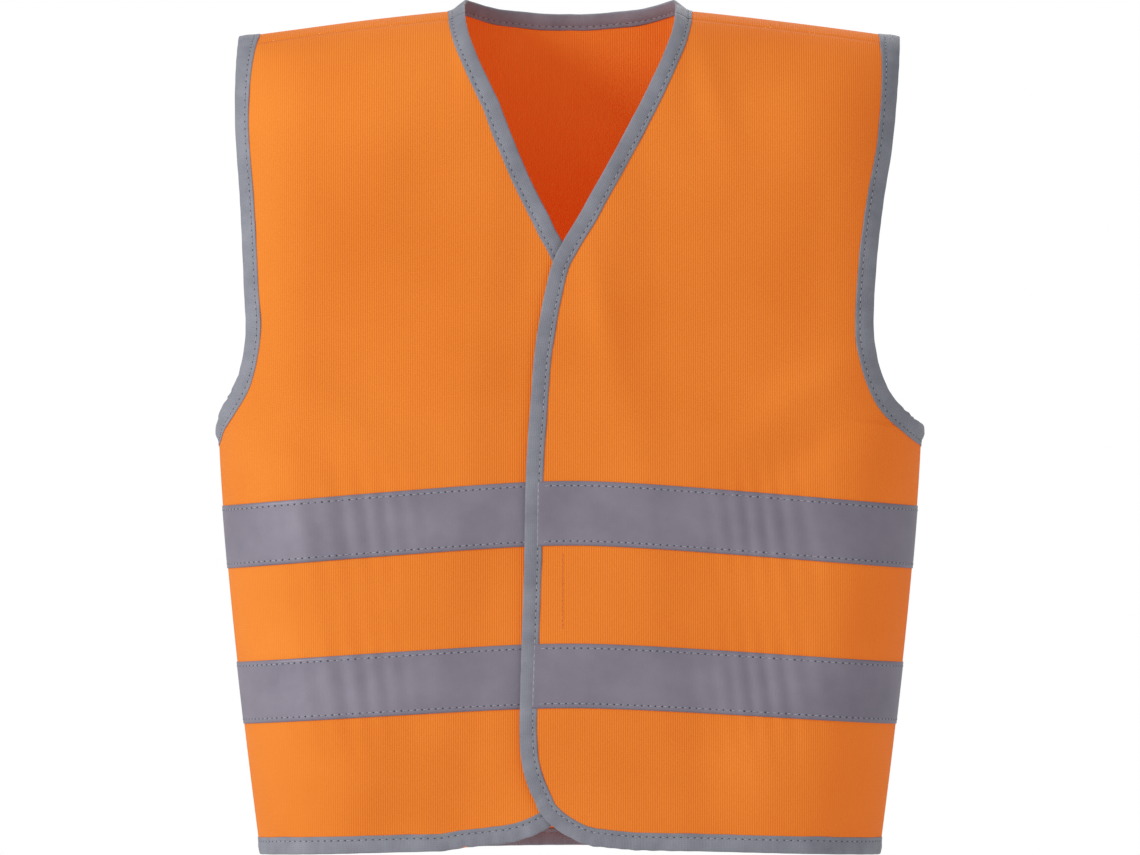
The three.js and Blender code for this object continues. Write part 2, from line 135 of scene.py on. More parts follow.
FREE_EDGE = {
    1: through([(-0.060, 0.043), (-0.073, 0.036), (-0.088, 0.0281), (-0.103, 0.0198),
                (-0.118, 0.0113), (-0.127, 0.0064), (-0.136, 0.0009), (-0.144, -0.0039),
                (-0.155, -0.0094), (-0.172, -0.0139), (-0.196, -0.0185), (-0.214, -0.0209),
                (-0.238, -0.0227), (-0.262, -0.0245), (-0.290, -0.0258), (-0.334, -0.0266),
                (-0.382, -0.0281), (-0.430, -0.0293), (-0.442, -0.0292), (-0.454, -0.0281),
                (-0.466, -0.025), (-0.478, -0.0197), (-0.484, -0.0169), (-0.4905, -0.0108),
                (-0.4945, -0.0054), (-0.498, 0.0006), (-0.501, 0.0066), (-0.5028, 0.0126),
                (-0.5043, 0.021), (HEM, 0.038)]),
    -1: through([(-0.060, -0.043), (-0.073, -0.0382), (-0.088, -0.0322), (-0.103, -0.0259),
                 (-0.118, -0.0186), (-0.127, -0.0137), (-0.136, -0.0096), (-0.144, -0.0049),
                 (-0.154, -0.0005), (-0.166, 0.0028), (-0.190, 0.006), (-0.240, 0.0085),
                 (-0.330, 0.010), (-0.430, 0.008), (-0.450, 0.0065), (-0.466, 0.0036),
                 (-0.480, -0.002), (-0.4913, -0.012), (-0.495, -0.0183), (-0.4997, -0.0303),
                 (-0.5021, -0.042), (-0.5033, -0.054), (HEM, -0.076)]),
}
sag_at = through([(-0.200, 0.0136), (-0.286, 0.0143), (-0.324, 0.0136), (-0.383, 0.0116),
                  (-0.421, 0.0104), (HEM, 0.0046)])


def half_width(z):
    t = np.maximum(0, (UNDERARM - z) / (UNDERARM - HEM))
    return CHEST_WIDTH - HEM_TAPER * t ** TAPER_POWER


def height_at(x, along):
    """Height of a point x out from the centre line."""
    d = np.abs(along)
    turn = np.minimum(1, d / SHOULDER_ARC) * math.pi / 2
    drop = SHOULDER_DROP * (1 - np.cos(turn)) + np.maximum(0, d - SHOULDER_ARC)
    shoulder = 1 - smooth(drop / -UNDERARM)
    slope = np.maximum(0, (x - NECK_HALF) / (SHOULDER_HALF - NECK_HALF)) ** SHOULDER_POWER
    lip, lip_from, lip_reach = NECK_LIP
    ridge = SHOULDER_SLOPE * slope + lip * smooth((x - lip_from) / lip_reach)
    rise = np.where(along < 0, neck_rise(x) * smooth(d / NECK_RAMP), 0)
    fade = np.maximum(0, 1 - drop / NECK_FADE) ** 2
    spread = (np.hypot(x, SAG_ROUND) - SAG_ROUND) / (math.hypot(SAG_REACH, SAG_ROUND) - SAG_ROUND)
    return -drop - shoulder * ridge + fade * rise - (1 - shoulder) * sag_at(-drop) * spread


def along_at(x, z, face=1):
    low = np.zeros(np.broadcast(x, z).shape)
    high = low + 0.560
    for _ in range(36):
        mid = (low + high) / 2
        below = height_at(x, mid * face) > z
        low = np.where(below, mid, low)
        high = np.where(below, high, mid)
    return low * face


def place(across, along):
    arc = np.abs(across)
    x = np.minimum(arc, CHEST_WIDTH)
    bend = np.zeros_like(arc)
    for _ in range(6):
        flat = half_width(height_at(x, along)) - SIDE_RADIUS
        bend = np.clip((arc - flat) / SIDE_RADIUS, 0, math.pi / 2)
        x = np.where(bend > 0, flat + SIDE_RADIUS * np.sin(bend), arc)
    z = height_at(x, along)
    share = np.sin(math.pi / 2 * np.minimum(1, np.abs(along) / SHOULDER_ARC)) * np.sign(along)
    crown = np.where(along > 0, FRONT_CROWN * (1 - (x / half_width(z)) ** 2), 0)
    depth = SIDE_RADIUS * np.cos(bend) + crown
    return np.stack([np.sign(across) * x, -share * depth, z], -1)


def across_at(x, z):
    flat = half_width(z) - SIDE_RADIUS
    out = np.maximum(0, np.abs(x) - flat)
    turned = flat + SIDE_RADIUS * np.arcsin(np.minimum(1, out / SIDE_RADIUS))
    return np.where(out > 0, np.sign(x) * turned, x)


def side_seam(along):
    z = height_at(CHEST_WIDTH, along)
    for _ in range(5):
        z = height_at(half_width(z), along)
    return half_width(z) - SIDE_RADIUS + SIDE_RADIUS * math.pi / 2


def roll_x(z):
    slope = (ROLL_HEM[0] - ROLL_TOP[0]) / (ROLL_TOP[1] - ROLL_HEM[1])
    return ROLL_TOP[0] + slope * (ROLL_TOP[1] - z)


def free_edge_x(side, z):
    """x of a front's free edge: the V opening above the fold line's top, the lapped edge below."""
    return np.where(z > ROLL_TOP[1], side * neck_x(z), FREE_EDGE[side](z))


def crossing(along, outline):
    x = np.zeros_like(along)
    for _ in range(40):
        x = (x + outline(height_at(np.abs(x), along))) / 2
    return x


def outer_at(along, side):
    """Outer end of a row: the side seam, or the armhole edge above the underarm."""
    seam = side_seam(along)
    x = crossing(along, ARMHOLE[side])
    edge = np.minimum(seam, across_at(x, height_at(x, along)))
    return np.where(height_at(CHEST_WIDTH, along) <= UNDERARM, seam, edge)


def row_along(z):
    return along_at(0.0, z, 1)


HEM_ALONG = float(row_along(HEM))
SEAM_ALONG = float(row_along(SEAM_HEIGHT))
NECK_BACK = float(along_at(0.0, NECK_BACK_HEIGHT, -1))

# Soft folds: ends (across, height), half-width and height of the ridge, on the front or back.
FOLDS = [
    (1, (0.014, -0.150), (0.026, -0.225), 0.010, 0.0024),
    (1, (0.078, -0.030), (0.094, -0.085), 0.010, 0.0021),
    (1, (0.168, -0.215), (0.100, -0.262), 0.013, 0.0026),
    (1, (0.176, -0.245), (0.118, -0.285), 0.011, -0.0018),
    (1, (0.150, -0.060), (0.120, -0.170), 0.026, 0.0016),
    (1, (-0.172, -0.225), (-0.105, -0.268), 0.013, 0.0026),
    (1, (-0.180, -0.250), (-0.120, -0.290), 0.011, -0.0017),
    (1, (-0.120, -0.050), (-0.100, -0.190), 0.030, 0.0014),
    (1, (0.120, -0.330), (0.135, -0.380), 0.014, 0.0012),
    (1, (-0.120, -0.430), (-0.128, -0.500), 0.018, 0.0024),
    (1, (0.110, -0.430), (0.122, -0.500), 0.018, 0.0026),
    (-1, (0.000, -0.060), (0.012, -0.200), 0.040, 0.0020),
    (-1, (0.150, -0.215), (0.080, -0.280), 0.022, 0.0022),
    (-1, (-0.150, -0.215), (-0.080, -0.285), 0.022, 0.0022),
    (-1, (0.090, -0.430), (0.100, -0.500), 0.030, 0.0020),
    (-1, (-0.070, -0.430), (-0.080, -0.500), 0.034, 0.0022),
    (-1, (0.010, -0.330), (0.012, -0.380), 0.030, 0.0012),
]
# Small gathers that the tape's stitching pulls up: across centre, reach, wave length, height.
GATHERS = [(1, 0.118, 0.034, 0.0125, 0.00060), (1, -0.135, 0.040, 0.0140, 0.00048),
           (-1, 0.040, 0.060, 0.0150, 0.00034), (-1, -0.110, 0.045, 0.0130, 0.00036)]


def fold_offset(across, along):
    z = height_at(np.minimum(np.abs(across), CHEST_WIDTH), along)
    face = np.sign(along)
    total = np.zeros_like(z)
    for side, a, b, width, rise in FOLDS:
        way = np.subtract(b, a)
        length = math.hypot(*way)
        way = way / length
        u = (across - a[0]) * way[0] + (z - a[1]) * way[1]
        v = (across - a[0]) * way[1] - (z - a[1]) * way[0]
        ends = smooth((u + 0.5 * length) / length) * smooth((1.5 * length - u) / length)
        total += np.where(face == side, rise * np.exp(-(v / width) ** 2) * ends, 0)
    body = smooth(-z / 0.120) * smooth((side_seam(along) - np.abs(across)) / 0.050)
    slow = np.sin(21 * across + 9 * z + 0.6) * np.sin(13 * z + 1.2) + 0.5 * np.sin(47 * across - 17 * z)
    total += 0.0011 * body * slow
    for side, centre, reach, wave, rise in GATHERS:
        near = np.exp(-((across - centre) / reach) ** 2)
        ripple = np.sin(2 * math.pi * (across + 0.15 * z) / wave + 1.7 * np.sin(60 * across))
        for top, bottom in BANDS.values():
            middle = row_along((top + bottom) / 2)
            far = (np.abs(along) - middle) / (top - bottom)
            total += np.where(face == side, rise * near * ripple * np.exp(-(1.1 * far) ** 2), 0)
    return total


def lap_offset(across, along, flap):
    if not flap:
        return 0
    z = height_at(np.abs(across), along)
    return flap * LAP * smooth((roll_x(z) - flap * across) / LAP_RAMP)


def normals_of(surface, across, along):
    e = 0.0005
    side = np.where(across < 0, -1.0, 1.0)
    du = (surface(across, along) - surface(across - side * e, along)) * side[..., None]
    dv = surface(across, along + e) - surface(across, along - e)
    n = np.cross(dv, du)
    return n / np.linalg.norm(n, axis=-1, keepdims=True)


def spots(across, along, flap=0):
    """Points of the knit's middle surface and their outward normals."""
    across, along = np.broadcast_arrays(np.asarray(across, float), np.asarray(along, float))
    across = np.where(np.abs(across) < 1e-6, 1e-6, across)

    def surface(a, b):
        lift = lap_offset(a, b, flap) + fold_offset(a, b)
        return place(a, b) + normals_of(place, a, b) * np.asarray(lift)[..., None]

    return surface(across, along), normals_of(surface, across, along)


def add_piece(name, vertices, faces, uvs=None, material=None):
    mesh = bpy.data.meshes.new(name)
    mesh.from_pydata(vertices.tolist(), [], faces)
    if uvs is not None:
        layer = mesh.uv_layers.new(name="cloth")
        corners = np.empty(len(mesh.loops), np.int32)
        mesh.loops.foreach_get("vertex_index", corners)
        layer.data.foreach_set("uv", uvs[corners].ravel().astype(np.float32))
    mesh.shade_smooth()
    mesh.validate()
    obj = bpy.data.objects.new(name, mesh)
    bpy.context.scene.collection.objects.link(obj)
    if material:
        mesh.materials.append(material)
    return obj


def grid_faces(index):
    a, b, c, d = index[:-1, :-1], index[:-1, 1:], index[1:, 1:], index[1:, :-1]
    return np.stack([a, b, c, d], -1).reshape(-1, 4)


def closed_faces(faces, count):
    """Both faces of a sheet and the wall round it; its other side's vertices come `count` later."""
    edges = {}
    for face in faces.tolist():
        for m, n in zip(face, face[1:] + face[:1]):
            if edges.pop((n, m), None) is None:
                edges[(m, n)] = (m, n)
    walls = [(m, m + count, n + count, n) for m, n in edges]
    return faces.tolist() + (faces[:, ::-1] + count).tolist() + walls


def sheet_piece(name, across, along, levels, material, flap=0, flip=False):
    """A closed sheet over a grid of cloth positions, between two levels off the middle surface."""
    points, normals = spots(across, along, flap)
    flat_points, flat_normals = points.reshape(-1, 3), normals.reshape(-1, 3)
    count = len(flat_points)
    vertices = np.concatenate([flat_points + flat_normals * level for level in levels])
    faces = grid_faces(np.arange(count).reshape(across.shape))
    if flip:
        faces = faces[:, ::-1]
    uv = np.stack([across, along], -1).reshape(-1, 2)
    return add_piece(name, vertices, closed_faces(faces, count), np.concatenate([uv, uv]), material)


def front_grid(side, low, high, inset=0.0, step=CLOTH_STEP):
    rows = np.linspace(low, high, max(3, round(abs(high - low) / step) + 1))
    inner = crossing(rows, lambda z: free_edge_x(side, z)) + side * inset
    outer = side * outer_at(rows, side)
    columns = round(float(np.max(np.abs(outer - inner))) / step)
    t = np.linspace(0, 1, columns + 1)
    across = inner[:, None] + (outer - inner)[:, None] * t
    return across, np.broadcast_to(rows[:, None], across.shape).copy()


def fold_with(piece):
    """Bakes the piece's placement into its mesh; the direction of the line that the front folds back on is
    worked out but not used.
    """
    run = np.array([ROLL_HEM[0] - ROLL_TOP[0], ROLL_HEM[1] - ROLL_TOP[1]])
    run /= np.linalg.norm(run)
    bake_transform(piece)


# Materials -----------------------------------------------------------------------------------

# Painted glow: a constant red-orange emission. It is partly the dye's fluorescence and partly painted light
# that keeps the knit's colour bright in its own shade, whatever the lamps.
PAINTED_GLOW = (0.31, 0.010, 0.0)


def new_material(name):
    material = bpy.data.materials.new(name)
    material.use_nodes = True
    tree = material.node_tree
    return material, tree, tree.nodes["Principled BSDF"]


def node(tree, kind, **settings):
    made = tree.nodes.new(kind)
    for key, value in settings.items():
        if key in made.inputs:
            made.inputs[key].default_value = value
        else:
            setattr(made, key, value)
    return made


def join(tree, source, target):
    tree.links.new(source, target)


def math_node(tree, operation, a, b=0.0):
    made = node(tree, "ShaderNodeMath", operation=operation)
    for i, value in enumerate((a, b)):
        if isinstance(value, (int, float)):
            made.inputs[i].default_value = value
        else:
            join(tree, value, made.inputs[i])
    return made.outputs[0]


def ramp(tree, fac, stops):
    made = node(tree, "ShaderNodeValToRGB")
    elements = made.color_ramp.elements
    while len(elements) < len(stops):
        elements.new(0.5)
    for element, (position, colour) in zip(elements, stops):
        element.position = position
        element.color = (*colour, 1)
    join(tree, fac, made.inputs[0])
    return made.outputs[0]


def cloth_position(tree):
    uv = node(tree, "ShaderNodeUVMap", uv_map="cloth")
    split = node(tree, "ShaderNodeSeparateXYZ")
    join(tree, uv.outputs[0], split.inputs[0])
    return uv.outputs[0], split.outputs[0], split.outputs[1]


def waves(tree, value, pitch):
    scaled = math_node(tree, "MULTIPLY", value, 2 * math.pi / pitch)
    return math_node(tree, "SINE", scaled)


def bump(tree, shader, height, distance, strength):
    made = node(tree, "ShaderNodeBump", Strength=strength, Distance=distance)
    join(tree, height, made.inputs["Height"])
    join(tree, made.outputs[0], shader.inputs["Normal"])


def knit_material(name, light, dark, wale=0.00135, course=0.00105, glow=(0, 0, 0)):
    """Fluorescent warp knit: fine vertical wales crossed by courses, with soft colour drift and a painted
    glow from `glow`.
    """
    material, tree, shader = new_material(name)
    uv, across, along = cloth_position(tree)
    wales = waves(tree, across, wale)
    half = math_node(tree, "MULTIPLY", waves(tree, across, 2 * wale), 0.9)
    courses = waves(tree, math_node(tree, "ADD", along, math_node(tree, "MULTIPLY", half, 0.0002)), course)
    weave = math_node(tree, "ADD", math_node(tree, "MULTIPLY", wales, 0.7),
                      math_node(tree, "MULTIPLY", courses, 0.3))
    drift = node(tree, "ShaderNodeTexNoise", Scale=9.0, Detail=3.0, Roughness=0.5)
    join(tree, uv, drift.inputs["Vector"])
    grain = node(tree, "ShaderNodeTexNoise", Scale=700.0, Detail=2.0, Roughness=0.6)
    join(tree, uv, grain.inputs["Vector"])
    mix = math_node(tree, "ADD", math_node(tree, "MULTIPLY", drift.outputs[0], 0.75),
                    math_node(tree, "MULTIPLY", grain.outputs[0], 0.18))
    mix = math_node(tree, "ADD", mix, math_node(tree, "MULTIPLY", weave, 0.09))
    join(tree, ramp(tree, mix, [(0.25, dark), (0.75, light)]), shader.inputs["Base Color"])
    shader.inputs["Roughness"].default_value = 0.82
    shader.inputs["Specular IOR Level"].default_value = 0.25
    shader.inputs["Sheen Weight"].default_value = 0.08
    shader.inputs["Sheen Roughness"].default_value = 0.4
    shader.inputs["Sheen Tint"].default_value = (1.0, 0.45, 0.15, 1)
    # Painted glow: the emission adds `glow` everywhere, whatever light falls on the knit.
    shader.inputs["Emission Color"].default_value = (*glow, 1)
    shader.inputs["Emission Strength"].default_value = 1.0
    bump(tree, shader, weave, 0.00022, 0.6)
    return material


def tape_material():
    """Reflective tape: a fine glass-bead face on woven cloth, faintly creased and rubbed."""
    material, tree, shader = new_material("reflective_tape")
    uv, across, along = cloth_position(tree)
    weave = math_node(tree, "ADD", waves(tree, across, 0.0008), waves(tree, along, 0.0008))
    beads = node(tree, "ShaderNodeTexNoise", Scale=1500.0, Detail=2.0, Roughness=0.7)
    join(tree, uv, beads.inputs["Vector"])
    cloud = node(tree, "ShaderNodeTexNoise", Scale=26.0, Detail=4.0, Roughness=0.6)
    join(tree, uv, cloud.inputs["Vector"])
    mix = math_node(tree, "ADD", math_node(tree, "MULTIPLY", cloud.outputs[0], 0.7),
                    math_node(tree, "MULTIPLY", beads.outputs[0], 0.3))
    stops = [(0.3, (0.176, 0.160, 0.204)), (0.7, (0.252, 0.228, 0.280))]
    join(tree, ramp(tree, mix, stops), shader.inputs["Base Color"])
    rough = math_node(tree, "ADD", math_node(tree, "MULTIPLY", cloud.outputs[0], 0.2), 0.42)
    join(tree, rough, shader.inputs["Roughness"])
    shader.inputs["Metallic"].default_value = 0.25
    shader.inputs["Specular IOR Level"].default_value = 0.35
    height = math_node(tree, "ADD", math_node(tree, "MULTIPLY", weave, 0.12), beads.outputs[0])
    bump(tree, shader, height, 0.00012, 0.5)
    return material


def binding_material():
    """Folded binding: plain weave with fine cross ribs."""
    material, tree, shader = new_material("grey_binding")
    uv, across, along = cloth_position(tree)
    ribs = waves(tree, across, 0.0009)
    threads = waves(tree, along, 0.0007)
    weave = math_node(tree, "ADD", ribs, math_node(tree, "MULTIPLY", threads, 0.5))
    cloud = node(tree, "ShaderNodeTexNoise", Scale=60.0, Detail=3.0, Roughness=0.6)
    join(tree, uv, cloud.inputs["Vector"])
    mix = math_node(tree, "ADD", cloud.outputs[0], math_node(tree, "MULTIPLY", weave, 0.08))
    stops = [(0.25, (0.165, 0.170, 0.205)), (0.75, (0.250, 0.257, 0.300))]
    join(tree, ramp(tree, mix, stops), shader.inputs["Base Color"])
    shader.inputs["Roughness"].default_value = 0.62
    shader.inputs["Specular IOR Level"].default_value = 0.35
    shader.inputs["Sheen Weight"].default_value = 0.1
    bump(tree, shader, weave, 0.00012, 0.5)
    return material


def thread_material(name, light, dark):
    """Spun polyester thread, with ply shading along it."""
    material, tree, shader = new_material(name)
    place_node = node(tree, "ShaderNodeTexCoord")
    noise = node(tree, "ShaderNodeTexNoise", Scale=900.0, Detail=2.0, Roughness=0.6)
    join(tree, place_node.outputs["Object"], noise.inputs["Vector"])
    join(tree, ramp(tree, noise.outputs[0], [(0.3, dark), (0.7, light)]), shader.inputs["Base Color"])
    shader.inputs["Roughness"].default_value = 0.55
    bump(tree, shader, noise.outputs[0], 0.0001, 0.4)
    return material


# Cloth ---------------------------------------------------------------------------------------

def make_fronts(orange):
    for name, side in SIDES.items():
        across, along = front_grid(side, HEM_ALONG, SEAM_ALONG)
        piece = sheet_piece(f"{name}_front_cloth", across, along, (CLOTH_HALF, -CLOTH_HALF), orange,
                            side, flip=side < 0)
        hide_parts(f"front_panel_{name}_side", f"front_panel_{name}_flap")
        fold_with(piece)


def back_neck_x(along):
    t = np.clip(along / NECK_BACK, 0, 1)
    return np.where(along > 0, crossing(np.maximum(along, 0), neck_x),
                    NECK_HALF * (1 - t ** NECK_SQUARENESS) ** (1 / NECK_SQUARENESS))


def make_back(orange):
    low = np.linspace(-HEM_ALONG, NECK_BACK, round((HEM_ALONG + NECK_BACK) / CLOTH_STEP) + 1)
    wing = NECK_BACK * np.cos(np.linspace(0, math.pi / 2, 34)[1:])
    rows = np.concatenate([low, wing, np.linspace(0, SEAM_ALONG, 9)[1:]])
    inner = np.where(rows <= NECK_BACK + 1e-9, 0.0, back_neck_x(rows))
    columns = np.linspace(0, 1, 78)
    vertices, uvs, faces, start = [], [], [], 0
    for side in (1, -1):
        outer = outer_at(rows, side)
        across = side * (inner[:, None] + (outer - inner)[:, None] * columns)
        along = np.broadcast_to(rows[:, None], across.shape)
        points, normals = spots(across, along)
        index = np.arange(across.size).reshape(across.shape)
        if side < 0:
            index = index + start
            index[:len(low), 0] = centre
        else:
            centre = index[:len(low), 0]
            start = across.size
        part = grid_faces(index)
        faces.append(part if side > 0 else part[:, ::-1])
        vertices.append((points.reshape(-1, 3), normals.reshape(-1, 3)))
        uvs.append(np.stack([across, along], -1).reshape(-1, 2))
    points, normals = (np.concatenate(x) for x in zip(*vertices))
    faces, uv = np.concatenate(faces), np.concatenate(uvs)
    used, renumbered = np.unique(faces, return_inverse=True)
    faces = renumbered.reshape(faces.shape)
    points, normals, uv = points[used], normals[used], uv[used]
    both = np.concatenate([points + normals * CLOTH_HALF, points - normals * CLOTH_HALF])
    piece = add_piece("back_cloth", both, closed_faces(faces, len(points)),
                      np.concatenate([uv, uv]), orange)
    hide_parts("back_panel")
    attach(piece, "root")
    width = 2 * float(np.max(side_seam(low)))
    area = 2 * float(np.trapz(outer_at(rows, 1) - inner, rows))


def make_tapes(tape):
    levels = (TAPE_OUTER, TAPE_INNER)
    for band, (top, bottom) in BANDS.items():
        low, high = float(row_along(bottom)), float(row_along(top))
        for name, side in SIDES.items():
            across, along = front_grid(side, low, high, inset=BINDING_WIDTH * 0.6, step=0.002)
            piece = sheet_piece(f"{band}_tape_{name}_front", across, along, levels, tape, side,
                                flip=side < 0)
            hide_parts(f"{band}_tape_{name}_side", f"{band}_tape_{name}_flap")
            fold_with(piece)
        rows = -np.linspace(low, high, 20)
        t = np.linspace(-1, 1, 240)
        across = t * side_seam(rows)[:, None]
        along = np.broadcast_to(rows[:, None], across.shape).copy()
        piece = sheet_piece(f"{band}_tape_back_cloth", across, along, levels, tape, 0)
        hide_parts(f"{band}_tape_back")
        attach(piece, "root")


# Bindings ------------------------------------------------------------------------------------

def resample(path, step):
    """Even points along a path of (across, along) positions."""
    path = np.asarray(path, float)
    walked = np.concatenate([[0], np.cumsum(np.linalg.norm(np.diff(path, axis=0), axis=1))])
    count = max(2, round(walked[-1] / step) + 1)
    at = np.linspace(0, walked[-1], count)
    return np.stack([np.interp(at, walked, path[:, k]) for k in (0, 1)], 1)


def unit(vectors):
    return vectors / np.linalg.norm(vectors, axis=1, keepdims=True)


def directions(points):
    return unit(np.gradient(points, axis=0))


def true_reach(points, inboard, flap):
    """Share by which an inboard distance is scaled, so that it measures true on the cloth."""
    edge, _ = spots(points[:, 0], points[:, 1], flap)
    inner, _ = spots(*(points + inboard * BINDING_WIDTH).T, flap)
    return BINDING_WIDTH / np.linalg.norm(inner - edge, axis=1)


# A binding's face, from its sewn edge (0) to its fold (1)
SEWN_AT = 0.26
LEGS = np.array([0, 0.08, 0.16, 0.22, SEWN_AT, 0.30, 0.38, 0.50, 0.64, 0.78, 0.90, 1.0])


def leg_height(t):
    """Height of a binding's face over the cloth, pulled down where it is sewn."""
    edge = 0.00016 * np.sin(math.pi * np.clip(t / SEWN_AT, 0, 1))
    fold = 0.00050 * np.sin(0.85 * math.pi * np.clip((t - SEWN_AT) / (1 - SEWN_AT), 0, 1) ** 0.75)
    return 0.00060 + edge + fold


def slack(walked):
    """Slight unevenness of every binding along its length."""
    return 0.00007 * (1 + np.sin(walked * 410 + 2 * np.sin(walked * 77)))


def binding_faces(points, inboard, flap, wander, rough):
    """Rings of the outer face and the under face, from the sewn edge to the fold."""
    rings = []
    for sign in (1, -1):
        for t in LEGS:
            width = BINDING_WIDTH * (1 - t) + wander * (1 - t)
            edge = points + inboard * width[:, None]
            base, normal = spots(edge[:, 0], edge[:, 1], flap)
            level = leg_height(t) + rough * smooth((t - 0.30) / 0.35)
            rings.append(base + normal * (sign * level)[:, None])
    return rings[:len(LEGS)], rings[len(LEGS):]


def binding_fold(points, inboard, flap, rough):
    """Rings round the fold that wraps the cloth's edge."""
    base, normal = spots(points[:, 0], points[:, 1], flap)
    inner, _ = spots(*(points + inboard * 0.002).T, flap)
    out = unit(base - inner)
    return [base + out * ((BINDING_EDGE + 0.6 * rough) * math.cos(a))[:, None]
            + normal * ((0.0009 + rough) * math.sin(a))[:, None] for a in (0.9, 0.3, -0.3, -0.9)]


def binding_lining(points, inboard, flap):
    """Rings of the binding's inner face, which lies against the cloth on both sides."""
    rings = []
    for sign, legs in ((-1, (0.0, 0.5, 1.0)), (1, (1.0, 0.5, 0.0))):
        for t in legs:
            edge = points + inboard * BINDING_WIDTH * (1 - t)
            base, normal = spots(edge[:, 0], edge[:, 1], flap)
            rings.append(base + normal * sign * BINDING_INNER)
    return rings


def strip_faces(count, sides, turn, closed):
    """Quads of a strip of `count` rings round its length, with end faces unless it is closed."""
    index = np.arange(count * sides).reshape(-1, sides)
    index = np.concatenate([index, index[:, :1]], 1)
    if closed:
        index = np.concatenate([index, index[:1]], 0)
    faces = grid_faces(index)
    if turn > 0:
        faces = faces[:, ::-1]
    faces = faces.tolist()
    if not closed:
        first, last = index[0, :-1].tolist(), index[-1, :-1].tolist()
        faces += [first[::-1], last] if turn < 0 else [first, last[::-1]]
    return faces


def binding_piece(name, path, turn, flap, material, closed=False, crumple=None, widen=1.0):
    """A folded strip sewn over an edge. `turn` says on which side of the path the cloth lies."""
    points = resample(path, BINDING_STEP)
    if closed:
        points = points[:-1]
    way = directions(points)
    inboard = turn * np.stack([way[:, 1], -way[:, 0]], 1)
    inboard *= widen * true_reach(points, inboard, flap)[:, None]
    walked = np.arange(len(points)) * BINDING_STEP
    wander = 0.00016 * np.sin(walked * 95.0) + 0.00012 * np.sin(walked * 231.0 + 1.0)
    rough = slack(walked) + (0 if crumple is None else crumple(points, walked))
    outer, under = binding_faces(points, inboard, flap, wander, rough)
    fold = binding_fold(points, inboard, flap, rough)
    loop = outer + fold + under[::-1] + binding_lining(points, inboard, flap)
    vertices = np.stack(loop, 1)
    count, sides = vertices.shape[:2]
    around = np.linspace(0, 0.026, sides)
    uv = np.stack([np.broadcast_to(walked[:, None], (count, sides)),
                   np.broadcast_to(around, (count, sides))], -1).reshape(-1, 2)
    faces = strip_faces(count, sides, turn, closed)
    piece = add_piece(name, vertices.reshape(-1, 3), faces, uv, material)
    return piece


def front_path(side):
    """The free edge of a front, from the shoulder seam down to the hem and on to the side seam."""
    rows = np.linspace(SEAM_ALONG, HEM_ALONG, 260)
    edge = np.stack([crossing(rows, lambda z: free_edge_x(side, z)), rows], 1)
    reach = float(side_seam(np.array(HEM_ALONG)))
    hem = [(x, HEM_ALONG) for x in np.linspace(edge[-1, 0], side * reach, 60)[1:]]
    return np.concatenate([edge, hem])


def neck_path():
    steps = NECK_BACK * np.sin(np.linspace(0, math.pi / 2, 30))
    half = [(float(back_neck_x(np.array(a))), a) for a in np.linspace(SEAM_ALONG, 0, 10)[:-1]]
    half += [(float(back_neck_x(np.array(a))), a) for a in steps]
    other = [(-x, a) for x, a in half[-2::-1]]
    return np.array(half + other)


def armhole_path(side):
    tip = float(along_at(CHEST_WIDTH, UNDERARM, 1))
    seam = float(side_seam(np.array(tip)))
    rows = np.linspace(row_along(-0.2372), 0, 160)
    rise = [(seam, tip)] + [(float(w), a) for w, a in zip(outer_at(rows, side), rows)]
    fall = [(x, -a) for x, a in rise[-2::-1]]
    path = np.array(rise + fall)
    path[:, 0] *= side
    return path


# Creases across each armhole binding, by distance from the underarm, on the front and behind.
CREASES = {1: ((0.025, 0.030, 0.037, 0.056), (0.019, 0.030, 0.043)),
           -1: ((0.012, 0.031, 0.037, 0.051), (0.022, 0.034, 0.046))}


def underarm_crumple(side):
    """Puffs between creases, where the armhole binding is pushed together at the underarm."""
    def rough(points, walked):
        total = walked[-1] + BINDING_STEP
        puff = np.zeros_like(walked)
        for near, creases in zip((walked, total - walked), CREASES[side]):
            pressed = sum(np.exp(-((near - c) / 0.0019) ** 2) for c in creases)
            puff += 0.0011 * smooth((0.072 - near) / 0.045) * np.maximum(0, 1 - pressed)
        return puff
    return rough


def corner_crumple(points, walked):
    """Small bumps where a front binding is led round its lower corner."""
    near = smooth((points[:, 1] - row_along(-0.456)) / 0.02) * smooth((0.085 - np.abs(points[:, 0])) / 0.03)
    return 0.00025 * near * (1 + np.sin(walked * 660 + 1.3 * np.sin(walked * 90)))


def make_bindings(grey):
    for name, side in SIDES.items():
        piece = binding_piece(f"{name}_front_binding_cloth", front_path(side), side, side, grey,
                              crumple=corner_crumple)
        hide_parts(f"front_binding_{name}")
        fold_with(piece)
        piece = binding_piece(f"{name}_armhole_binding_cloth", armhole_path(side), side, 0, grey,
                              closed=True, crumple=underarm_crumple(side), widen=ARMHOLE_WIDENING)
        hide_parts(f"armhole_binding_{name}")
        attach(piece, "root")
    neck = binding_piece("back_neck_binding_cloth", neck_path(), -1, 0, grey)
    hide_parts("neck_binding")
    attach(neck, "root")
    reach = float(side_seam(np.array(-HEM_ALONG)))
    hem_path = [(x, -HEM_ALONG) for x in np.linspace(reach, -reach, 120)]
    hem = binding_piece("back_hem_binding_cloth", hem_path, 1, 0, grey)
    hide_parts("hem_binding")
    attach(hem, "root")


# Stitches ------------------------------------------------------------------------------------

def stitch_row(path, level, flap=0):
    """Ends and normals of the stitches along a path of (across, along) positions."""
    points = resample(path, STITCH_PITCH / 4)
    points = points[:len(points) // 4 * 4].reshape(-1, 4, 2)
    starts, ends = points[:, 0], points[:, 3]
    a, n = spots(starts[:, 0], starts[:, 1], flap)
    b, m = spots(ends[:, 0], ends[:, 1], flap)
    return a + n * level, b + m * level, (n + m) * np.sign(level)


